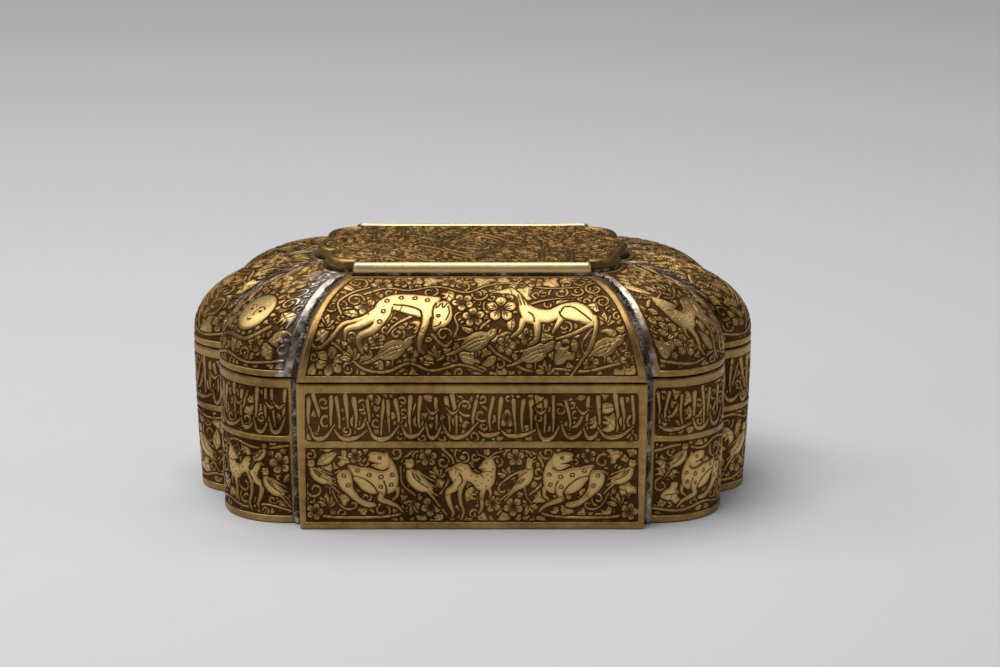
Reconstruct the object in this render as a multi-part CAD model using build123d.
"""An engraved brass casket with lobed ends: eight wall panels and eight lid gores soldered edge to edge.

X runs along the casket, the front faces -Y and +Z is up. The origin is the centre of the underside.
"""

from build123d import *
import math
import os

# Foot outline of the body, in millimetres; its front and back panels share the rim's depth
FOOT_FRONT_HALF = 60.9
FOOT_CORNER_X = FOOT_FRONT_HALF + 5.3
FOOT_CORNER_RADIUS = 22.6
FOOT_END_X = FOOT_CORNER_X + 16.6
FOOT_END_RADIUS = 15.5

# Outline of the body's rim, which the lid's rim follows: the body flares up to it
RIM_FRONT_HALF = FOOT_FRONT_HALF + 1.0
RIM_FRONT_Y = 58.2
RIM_CORNER_X = RIM_FRONT_HALF + 5.2
RIM_CORNER_Y = RIM_FRONT_Y - 30.0
RIM_CORNER_RADIUS = 23.0
RIM_END_X = RIM_CORNER_X + 17.9
RIM_END_RADIUS = 15.7

# Outline of the crown, where the lid's gores end under the top plate, drawn in from the rim
CROWN_FRONT_HALF = RIM_FRONT_HALF - 19.3
CROWN_FRONT_Y = RIM_FRONT_Y - 28.9
CROWN_CORNER_X = CROWN_FRONT_HALF + 0.4
CROWN_CORNER_Y = CROWN_FRONT_Y - 14.8
CROWN_CORNER_RADIUS = 9.8
CROWN_END_X = CROWN_CORNER_X + 3.2
CROWN_END_RADIUS = 10.0

# Heights
BODY_HEIGHT = 53.6
LID_GAP = 0.4
LID_RISE = 31.4
LID_SKIRT = 4.5
PLATE_THICKNESS = 4.2

# Sheet and cast thicknesses
WALL = 1.6
GORE_THICKNESS = 1.5
BASE_THICKNESS = 1.4
CROWN_FLANGE = 4.0
WINDOW_CORNER = 12.0
PLATE_SETBACK = 0.3
PLATE_ROUNDING = 0.9

# The engraved field, sunk inside the top plate's border, and the pointed ring that stands in it
FIELD_BORDER = 3.1
FIELD_SINK = 0.5
RING_TIP_X = 19.3
RING_TIP_Y = 18.4
RING_WAIST_X = 11.6
RING_WAIST_Y = 6.8
RING_SHARE = 0.86
RING_HEIGHT = 0.25

# Gore profile: how far round its quarter curve it goes, its fullness and the bow of its front seams
PROFILE_END_ANGLE = 84.0
PROFILE_FULLNESS = 2.15
SEAM_BOW = 0.10
PROFILE_SECTIONS = 8

# Where the front panels' seams are cut, and the soft solder run into all seams
SEAM_STEP = 0.3
SEAM_WIDTH = 2.1
PLATE_SOLDER_EDGE = 0.15
PLATE_SOLDER_HEIGHT = 0.8

# Two butt hinges on the back
HINGE_SPACING = 2 * (RIM_FRONT_HALF - 24.9)
HINGE_WIDTH = 24.0
MIDDLE_KNUCKLE = 8.0
KNUCKLE_RADIUS = 2.4
PIN_RADIUS = 1.1
PIN_RUNNING_CLEARANCE = 0.05
PIN_HEAD_RADIUS = 1.9
PIN_HEAD_THICKNESS = 0.9
KNUCKLE_SIDE_GAP = 0.3
KNUCKLE_WALL_GAP = 0.4
LEAF_THICKNESS = 1.2
LEAF_CLEARANCE = 0.35
BODY_LEAF_DROP = 11.0
LID_LEAF_RISE = 8.4
RIVET_RADIUS = 0.8
RIVET_HEAD_RADIUS = 1.5
RIVET_HEAD_HEIGHT = 0.7
RIVET_TAIL_HEIGHT = 0.5
RIVET_SPACING = 16.0
RIVET_EDGE = 2.4

LID_BASE_Z = BODY_HEIGHT + LID_GAP
CROWN_Z = LID_BASE_Z + LID_RISE

# How far cutting blocks run past what they cut, and the least distance between two plan points
REACH = 12.0
OVERRUN = 1.0
SAME_POINT = 0.05


class Outline:
    """The casket's plan: flat front and back panels, a round lobe at each corner and one at each end."""

    def __init__(self, front_half, front_y, corner_x, corner_y, corner_radius, end_x, end_radius):
        self.front_half = front_half
        self.front_y = front_y
        self.corner_x = corner_x
        self.corner_y = corner_y
        self.corner_radius = corner_radius
        self.end_x = end_x
        self.end_radius = end_radius

    def values(self):
        return (
            self.front_half,
            self.front_y,
            self.corner_x,
            self.corner_y,
            self.corner_radius,
            self.end_x,
            self.end_radius,
        )

    def inset(self, wall):
        """The same plan drawn inward by a wall thickness."""
        return Outline(
            self.front_half - wall,
            self.front_y - wall,
            self.corner_x,
            self.corner_y,
            self.corner_radius - wall,
            self.end_x,
            self.end_radius - wall,
        )

    def towards(self, other, share, bow=0.0):
        """The plan part of the way to another one; bow draws the front panel in early on the way."""
        mixed = [a + (b - a) * share for a, b in zip(self.values(), other.values())]
        mixed[0] += (other.front_half - self.front_half) * bow
        return Outline(*mixed)

    def front_notch(self):
        """Where the side of the front panel meets the corner lobe, in the right back quarter."""
        across = self.corner_x - self.front_half
        return Vector(self.front_half, self.corner_y + math.sqrt(self.corner_radius**2 - across**2))

    def end_notch(self):
        """Where the corner lobe meets the end lobe, in the right back quarter."""
        centre = Vector(self.corner_x, self.corner_y)
        apart = Vector(self.end_x, 0) - centre
        gap = apart.length
        along = (gap**2 + self.corner_radius**2 - self.end_radius**2) / (2 * gap)
        out = math.sqrt(self.corner_radius**2 - along**2)
        way = apart.normalized()
        return centre + way * along + Vector(-way.Y, way.X) * out

    def quarter(self):
        """Corner points and arc middles of the right back quarter, from the end round to the panel."""
        end_notch = self.end_notch()
        front_notch = self.front_notch()
        centre = Vector(self.corner_x, self.corner_y)
        middle = (end_notch - centre).normalized() + (front_notch - centre).normalized()
        bulge = centre + middle.normalized() * self.corner_radius
        return end_notch, bulge, front_notch, Vector(self.front_half, self.front_y)

    def wire(self, z):
        """The closed plan at a height."""

        def place(point, side_x, side_y):
            return (point.X * side_x, point.Y * side_y, z)

        end_notch, bulge, front_notch, corner = self.quarter()
        tip = Vector(self.end_x + self.end_radius, 0)
        edges = []
        for side_x, side_y in ((1, 1), (-1, 1), (-1, -1), (1, -1)):
            part = [
                ThreePointArc(*(place(p, side_x, side_y) for p in (end_notch, bulge, front_notch))),
                Line(place(front_notch, side_x, side_y), place(corner, side_x, side_y)),
            ]
            edges += part if side_x == side_y else part[::-1]
            if side_x == side_y:
                edges.append(Line(place(corner, side_x, side_y), place(corner, -side_x, side_y)))
            else:
                edges.append(
                    ThreePointArc(
                        place(end_notch, side_x, side_y),
                        place(tip, side_x, side_y),
                        place(end_notch, side_x, -side_y),
                    )
                )
        return Wire(edges)


FOOT = Outline(
    FOOT_FRONT_HALF,
    RIM_FRONT_Y,
    FOOT_CORNER_X,
    RIM_CORNER_Y,
    FOOT_CORNER_RADIUS,
    FOOT_END_X,
    FOOT_END_RADIUS,
)
RIM = Outline(
    RIM_FRONT_HALF,
    RIM_FRONT_Y,
    RIM_CORNER_X,
    RIM_CORNER_Y,
    RIM_CORNER_RADIUS,
    RIM_END_X,
    RIM_END_RADIUS,
)
CROWN = Outline(
    CROWN_FRONT_HALF,
    CROWN_FRONT_Y,
    CROWN_CORNER_X,
    CROWN_CORNER_Y,
    CROWN_CORNER_RADIUS,
    CROWN_END_X,
    CROWN_END_RADIUS,
)


def body_outline(z):
    """The outside of the body at a height."""
    return FOOT.towards(RIM, z / BODY_HEIGHT)


def body_block(wall, low, high):
    """The body as one tapered block, drawn inward by a wall."""
    return Solid.make_loft(
        [body_outline(low).inset(wall).wire(low), body_outline(high).inset(wall).wire(high)], ruled=True
    )


def lid_stations(rise):
    """Height and plan share of each section of the gore profile, from the skirt up to the crown."""
    end = math.radians(PROFILE_END_ANGLE)
    stations = [(0.0, 0.0), (LID_SKIRT, 0.0)]
    for step in range(1, PROFILE_SECTIONS + 1):
        angle = end * step / PROFILE_SECTIONS
        height = LID_SKIRT + (rise - LID_SKIRT) * math.sin(angle) / math.sin(end)
        share = (1 - math.cos(angle) ** (2 / PROFILE_FULLNESS)) / (1 - math.cos(end) ** (2 / PROFILE_FULLNESS))
        stations.append((height, share))
    return stations


def lid_outline(share, height):
    """The outside of the lid at a plan share between the rim and the crown."""
    return RIM.towards(CROWN, share, SEAM_BOW * math.sin(math.pi * height / LID_RISE))


def lid_block(wall, drop):
    """The lid as one domed block, drawn inward by a wall; drop starts the hollow below the rim."""
    sections = []
    for height, share in lid_stations(LID_RISE - wall):
        start = -drop if height == 0 else height
        outline = lid_outline(share, height).inset(wall)
        sections.append(outline.wire(LID_BASE_Z + start))
    return Solid.make_loft(sections, ruled=False)


QUARTERS = ((1, 1), (-1, 1), (-1, -1), (1, -1))


def side_of(point, side_x, side_y):
    return Vector(point.X * side_x, point.Y * side_y)


def joint_line_point(outline, seam):
    """Where one kind of seam is cut, in the right back quarter: a front seam lies on the panel's side."""
    if seam == "front":
        return outline.front_notch() + Vector(0, SEAM_STEP)
    return outline.end_notch()


def wall_seam_path(outline, seam):
    """The plan line of a wall seam from outside to inside, through both faces of the sheet."""
    outside = joint_line_point(outline, seam)
    inside = joint_line_point(outline.inset(WALL), seam)
    way = (outside - inside).normalized()
    return [outside + way * REACH, outside - way * REACH]


def gore_seam_path(seam):
    """The plan line of a gore seam from outside the rim, up the groove and in past the crown."""
    points = []
    for height, share in lid_stations(LID_RISE):
        point = joint_line_point(lid_outline(share, height), seam)
        if not points or (point - points[-1]).length > SAME_POINT:
            points.append(point)
    way = (points[0] - points[-1]).normalized()
    return [points[0] + way * REACH, *points, points[-1] - way * REACH]


def wedge_plan(kind, front_path, end_path, side_x, side_y):
    """The plan region of one panel between its two seams."""
    far_x = RIM_END_X + RIM_END_RADIUS + REACH
    far_y = RIM_FRONT_Y + REACH
    if kind == "front":
        right = [*front_path[::-1], Vector(front_path[0].X, far_y)]
        corners = right + [side_of(corner, -1, 1) for corner in right[::-1]]
    elif kind == "corner":
        far = [Vector(front_path[0].X, far_y), Vector(far_x, far_y), Vector(far_x, end_path[0].Y)]
        corners = front_path[::-1] + far + end_path
    else:
        back = [*end_path[::-1], Vector(far_x, end_path[0].Y)]
        corners = back + [side_of(corner, 1, -1) for corner in back[::-1]]
    return [side_of(corner, side_x, side_y) for corner in corners]


def wedge(levels, kind, side_x, side_y):
    """A block over one panel; each level is a height and the plans of its two kinds of seam."""
    wires = []
    for z, front_path, end_path in levels:
        plan = wedge_plan(kind, front_path, end_path, side_x, side_y)
        wires.append(Wire.make_polygon([(p.X, p.Y, z) for p in plan], close=True))
    return Solid.make_loft(wires, ruled=True)


def one_solid(shape):
    """The largest solid of a cut, as a single solid."""
    return max(shape.solids(), key=lambda solid: solid.volume)


def seam_plan(outline, seam, side_x, side_y):
    """The plan of the solder in one seam: a small three-sided fill from inside the walls to the air."""
    if seam == "front":
        notch = outline.front_notch()
        centre = Vector(outline.corner_x, outline.corner_y)
        turn = SEAM_WIDTH / outline.corner_radius
        on_panel = notch + Vector(0, SEAM_WIDTH)
        on_lobe = centre + (notch - centre).rotate(Axis.Z, -math.degrees(turn))
    else:
        notch = outline.end_notch()
        corner = Vector(outline.corner_x, outline.corner_y)
        end = Vector(outline.end_x, 0)
        turn = math.degrees(SEAM_WIDTH / outline.corner_radius)
        on_panel = corner + (notch - corner).rotate(Axis.Z, turn)
        turn = math.degrees(SEAM_WIDTH / outline.end_radius)
        on_lobe = end + (notch - end).rotate(Axis.Z, -turn)
    inward = notch + (notch - (on_panel + on_lobe) * 0.5).normalized() * (WALL / 2)
    return [side_of(point, side_x, side_y) for point in (inward, on_panel, on_lobe)]


def seam_fill(sections, seam, side_x, side_y):
    """Solder along one seam through sections, each a height and the plan outline there."""
    wires = []
    for z, outline in sections:
        plan = seam_plan(outline, seam, side_x, side_y)
        wires.append(Wire.make_polygon([(p.X, p.Y, z) for p in plan], close=True))
    return Solid.make_loft(wires, ruled=True)


def side_name(side_x, side_y):
    return ("back" if side_y > 0 else "front") + ("_right" if side_x > 0 else "_left")


def panels(shell, levels, noun):
    """The shell cut along its seams into named panels."""
    named = {}
    for side_y, name in ((1, "back"), (-1, "front")):
        named[f"{name}_{noun}"] = one_solid(shell & wedge(levels, "front", 1, side_y))
    for side_x, side_y in QUARTERS:
        name = f"{side_name(side_x, side_y)}_corner_{noun}"
        named[name] = one_solid(shell & wedge(levels, "corner", side_x, side_y))
    for side_x, name in ((1, "right"), (-1, "left")):
        named[f"{name}_end_{noun}"] = one_solid(shell & wedge(levels, "end", side_x, 1))
    return named


def upright_cylinder(x, y_start, y_end, z, radius):
    """A round bar along Y between two depths."""
    length = y_end - y_start
    return Pos(x, y_start + length / 2, z) * Rot(90, 0, 0) * Cylinder(radius, length)


def bar_along_x(x_start, x_end, y, z, radius):
    """A round bar along X between two places."""
    length = x_end - x_start
    return Pos(x_start + length / 2, y, z) * Rot(0, 90, 0) * Cylinder(radius, length)


def block(x_start, x_end, y_start, y_end, z_start, z_end):
    size = (x_end - x_start, y_end - y_start, z_end - z_start)
    middle = ((x_start + x_end) / 2, (y_start + y_end) / 2, (z_start + z_end) / 2)
    return Pos(*middle) * Box(*size)


HINGE_Y = RIM_FRONT_Y + KNUCKLE_WALL_GAP + KNUCKLE_RADIUS
HINGE_Z = BODY_HEIGHT + LID_GAP / 2
LEAF_START = KNUCKLE_RADIUS + LEAF_CLEARANCE


def knuckle_spans(x):
    """The three knuckles of a hinge: left and right on the body leaf, the middle one on the lid leaf."""
    left = x - HINGE_WIDTH / 2
    right = x + HINGE_WIDTH / 2
    return (
        (left, x - MIDDLE_KNUCKLE / 2 - KNUCKLE_SIDE_GAP / 2),
        (x - MIDDLE_KNUCKLE / 2 + KNUCKLE_SIDE_GAP / 2, x + MIDDLE_KNUCKLE / 2 - KNUCKLE_SIDE_GAP / 2),
        (x + MIDDLE_KNUCKLE / 2 + KNUCKLE_SIDE_GAP / 2, right),
    )


def hinge_leaf(x, way, length, spans, bore):
    """A leaf lying on the casket's back, its tabs rolled into knuckles; way is +1 up or -1 down."""
    inner = RIM_FRONT_Y
    outer = inner + LEAF_THICKNESS
    near = HINGE_Z + way * LEAF_START
    far = HINGE_Z + way * length
    leaf = block(x - HINGE_WIDTH / 2, x + HINGE_WIDTH / 2, inner, outer, min(near, far), max(near, far))
    for start, end in spans:
        tab_top = near + way * OVERRUN
        leaf += block(start, end, HINGE_Y - KNUCKLE_RADIUS, outer, min(HINGE_Z, tab_top), max(HINGE_Z, tab_top))
        leaf += bar_along_x(start, end, HINGE_Y, HINGE_Z, KNUCKLE_RADIUS)
    leaf -= bar_along_x(x - HINGE_WIDTH, x + HINGE_WIDTH, HINGE_Y, HINGE_Z, bore)
    for rivet_x, rivet_z in rivet_places(x, way, length):
        leaf -= upright_cylinder(rivet_x, inner - OVERRUN, outer + OVERRUN, rivet_z, RIVET_RADIUS)
    return one_solid(leaf)


def hinge_pin(x):
    """A pin through the three knuckles with a flat head at each end."""
    left = x - HINGE_WIDTH / 2
    right = x + HINGE_WIDTH / 2
    pin = bar_along_x(left, right, HINGE_Y, HINGE_Z, PIN_RADIUS)
    pin += bar_along_x(left - PIN_HEAD_THICKNESS, left, HINGE_Y, HINGE_Z, PIN_HEAD_RADIUS)
    pin += bar_along_x(right, right + PIN_HEAD_THICKNESS, HINGE_Y, HINGE_Z, PIN_HEAD_RADIUS)
    return one_solid(pin)


def rivet_places(x, way, length):
    """The two rivets of a leaf."""
    z = HINGE_Z + way * (length - RIVET_EDGE)
    return ((x - RIVET_SPACING / 2, z), (x + RIVET_SPACING / 2, z))


def rivet(x, z, sheet):
    """A rivet through a leaf and the sheet behind it, domed outside and clenched flat inside."""
    outer = RIM_FRONT_Y + LEAF_THICKNESS
    inner = RIM_FRONT_Y - sheet
    shank = upright_cylinder(x, inner, outer, z, RIVET_RADIUS)
    tail = upright_cylinder(x, inner - RIVET_TAIL_HEIGHT, inner, z, RIVET_HEAD_RADIUS)
    dome_radius = (RIVET_HEAD_RADIUS**2 + RIVET_HEAD_HEIGHT**2) / (2 * RIVET_HEAD_HEIGHT)
    dome = Pos(x, outer + RIVET_HEAD_HEIGHT - dome_radius, z) * Sphere(dome_radius)
    keep = block(x - REACH, x + REACH, outer, outer + REACH, z - REACH, z + REACH)
    return one_solid(shank + tail + (dome & keep))


HINGE_PLACES = ((-HINGE_SPACING / 2, "left"), (HINGE_SPACING / 2, "right"))


def build_body():
    """The box: base plate, eight walls and the solder in their seams."""
    outside = body_block(0, 0, BODY_HEIGHT)
    hollow = body_block(WALL, -OVERRUN, BODY_HEIGHT + OVERRUN)
    levels = []
    for z in (-OVERRUN, BODY_HEIGHT + OVERRUN):
        outline = body_outline(z)
        levels.append((z, wall_seam_path(outline, "front"), wall_seam_path(outline, "end")))
    nodes = panels(outside - hollow, levels, "wall")
    size = 2 * (RIM_END_X + RIM_END_RADIUS)
    slab = block(-size, size, -size, size, 0, BASE_THICKNESS)
    nodes["base_plate"] = one_solid(hollow & slab)
    sections = [(0, body_outline(0)), (BODY_HEIGHT, body_outline(BODY_HEIGHT))]
    seams = []
    for side_x, side_y in QUARTERS:
        for seam in ("front", "end"):
            seams.append(one_solid(seam_fill(sections, seam, side_x, side_y) - outside))
    nodes["body_seam_solder"] = Compound(seams)
    return nodes


def crown_window():
    """A rounded opening in the crown that leaves a flange on every gore for the top plate."""
    half_x = CROWN.end_notch().X - CROWN_FLANGE
    half_y = CROWN.front_notch().Y - CROWN_FLANGE
    flat = RectangleRounded(2 * half_x, 2 * half_y, WINDOW_CORNER)
    return extrude(Pos(0, 0, CROWN_Z - REACH) * flat, REACH + OVERRUN)


def pointed_ring(share, low, high):
    """A block in the shape of the ring's pointed outline, drawn in to a share of it."""
    tips = [
        (RING_TIP_X, 0),
        (RING_WAIST_X, RING_WAIST_Y),
        (0, RING_TIP_Y),
        (-RING_WAIST_X, RING_WAIST_Y),
        (-RING_TIP_X, 0),
        (-RING_WAIST_X, -RING_WAIST_Y),
        (0, -RING_TIP_Y),
        (RING_WAIST_X, -RING_WAIST_Y),
    ]
    outline = Polygon(*[(x * share, y * share) for x, y in tips], align=None)
    return Pos(0, 0, low) * extrude(outline, high - low)


def plate_field():
    """What is sunk into the top plate: its field with three round ends each way, less the ring left standing."""
    top = CROWN_Z + PLATE_THICKNESS
    low = top - FIELD_SINK
    high = top + OVERRUN
    border = PLATE_SETBACK + FIELD_BORDER
    long = CROWN_FRONT_HALF - border
    deep = CROWN_FRONT_Y - border
    field = block(-long, long, -deep, deep, low, high)
    field += block(-CROWN_END_X, CROWN_END_X, -CROWN_CORNER_Y, CROWN_CORNER_Y, low, high)
    for side_x in (-1, 1):
        middle = (low + high) / 2
        field += Pos(side_x * CROWN_END_X, 0, middle) * Cylinder(CROWN_END_RADIUS - border, high - low)
        for side_y in (-1, 1):
            centre = Pos(side_x * CROWN_CORNER_X, side_y * CROWN_CORNER_Y, middle)
            field += centre * Cylinder(CROWN_CORNER_RADIUS - border, high - low)
    ring = pointed_ring(1, low - OVERRUN, low + RING_HEIGHT)
    return field - (ring - pointed_ring(RING_SHARE, low - 2 * OVERRUN, high))


def build_lid():
    """The lid: eight gores, the top plate and the solder that holds them."""
    outside = lid_block(0, 0)
    hollow = lid_block(GORE_THICKNESS, OVERRUN)
    window = crown_window()
    shell = outside - hollow - window
    paths = (gore_seam_path("front"), gore_seam_path("end"))
    levels = [(z, *paths) for z in (LID_BASE_Z - OVERRUN, CROWN_Z + OVERRUN)]
    nodes = panels(shell, levels, "gore")
    plate = CROWN.inset(PLATE_SETBACK)
    slab = Solid.make_loft(
        [
            plate.inset(PLATE_ROUNDING / 2).wire(CROWN_Z),
            plate.wire(CROWN_Z + PLATE_ROUNDING),
            plate.wire(CROWN_Z + PLATE_THICKNESS - PLATE_ROUNDING),
            plate.inset(PLATE_ROUNDING).wire(CROWN_Z + PLATE_THICKNESS),
        ],
        ruled=True,
    )
    nodes["top_plate"] = one_solid(slab - plate_field())
    seams = []
    stations = lid_stations(LID_RISE)
    sections = [(LID_BASE_Z + height, lid_outline(share, height)) for height, share in stations]
    for side_x, side_y in QUARTERS:
        for seam in ("front", "end"):
            seams.append(one_solid(seam_fill(sections, seam, side_x, side_y) - outside))
    nodes["lid_seam_solder"] = Compound(seams)
    ring = Solid.make_loft(
        [
            CROWN.wire(CROWN_Z),
            plate.inset(-PLATE_SOLDER_EDGE).wire(CROWN_Z + PLATE_SOLDER_HEIGHT),
        ],
        ruled=True,
    )
    nodes["top_plate_solder"] = one_solid(ring - nodes["top_plate"])
    return nodes


def build_hinges():
    """Leaves, pins and rivets of the two hinges."""
    nodes = {}
    body_rivets = []
    lid_rivets = []
    for x, name in HINGE_PLACES:
        left, middle, right = knuckle_spans(x)
        nodes[f"{name}_hinge_body_leaf"] = hinge_leaf(x, -1, BODY_LEAF_DROP, (left, right), PIN_RADIUS)
        lid_bore = PIN_RADIUS + PIN_RUNNING_CLEARANCE
        nodes[f"{name}_hinge_lid_leaf"] = hinge_leaf(x, 1, LID_LEAF_RISE, (middle,), lid_bore)
        nodes[f"{name}_hinge_pin"] = hinge_pin(x)
        body_rivets += [rivet(px, pz, WALL) for px, pz in rivet_places(x, -1, BODY_LEAF_DROP)]
        lid_rivets += [rivet(px, pz, GORE_THICKNESS) for px, pz in rivet_places(x, 1, LID_LEAF_RISE)]
    nodes["hinge_rivets_body"] = Compound(body_rivets)
    nodes["hinge_rivets_lid"] = Compound(lid_rivets)
    return nodes


def bed_leaves(nodes, sheet, side):
    """Drills a back panel for its rivets and lets the leaves into it where it curves away."""
    for fitted in (f"left_hinge_{side}_leaf", f"right_hinge_{side}_leaf", f"hinge_rivets_{side}"):
        nodes[sheet] = one_solid(nodes[sheet] - nodes[fitted])


def main():
    os.makedirs("parts", exist_ok=True)
    nodes = {**build_body(), **build_lid(), **build_hinges()}
    bed_leaves(nodes, "back_wall", "body")
    bed_leaves(nodes, "back_gore", "lid")
    for name, shape in nodes.items():
        export_step(shape, f"parts/{name}.step")
    print(len(nodes), "nodes written")


main()
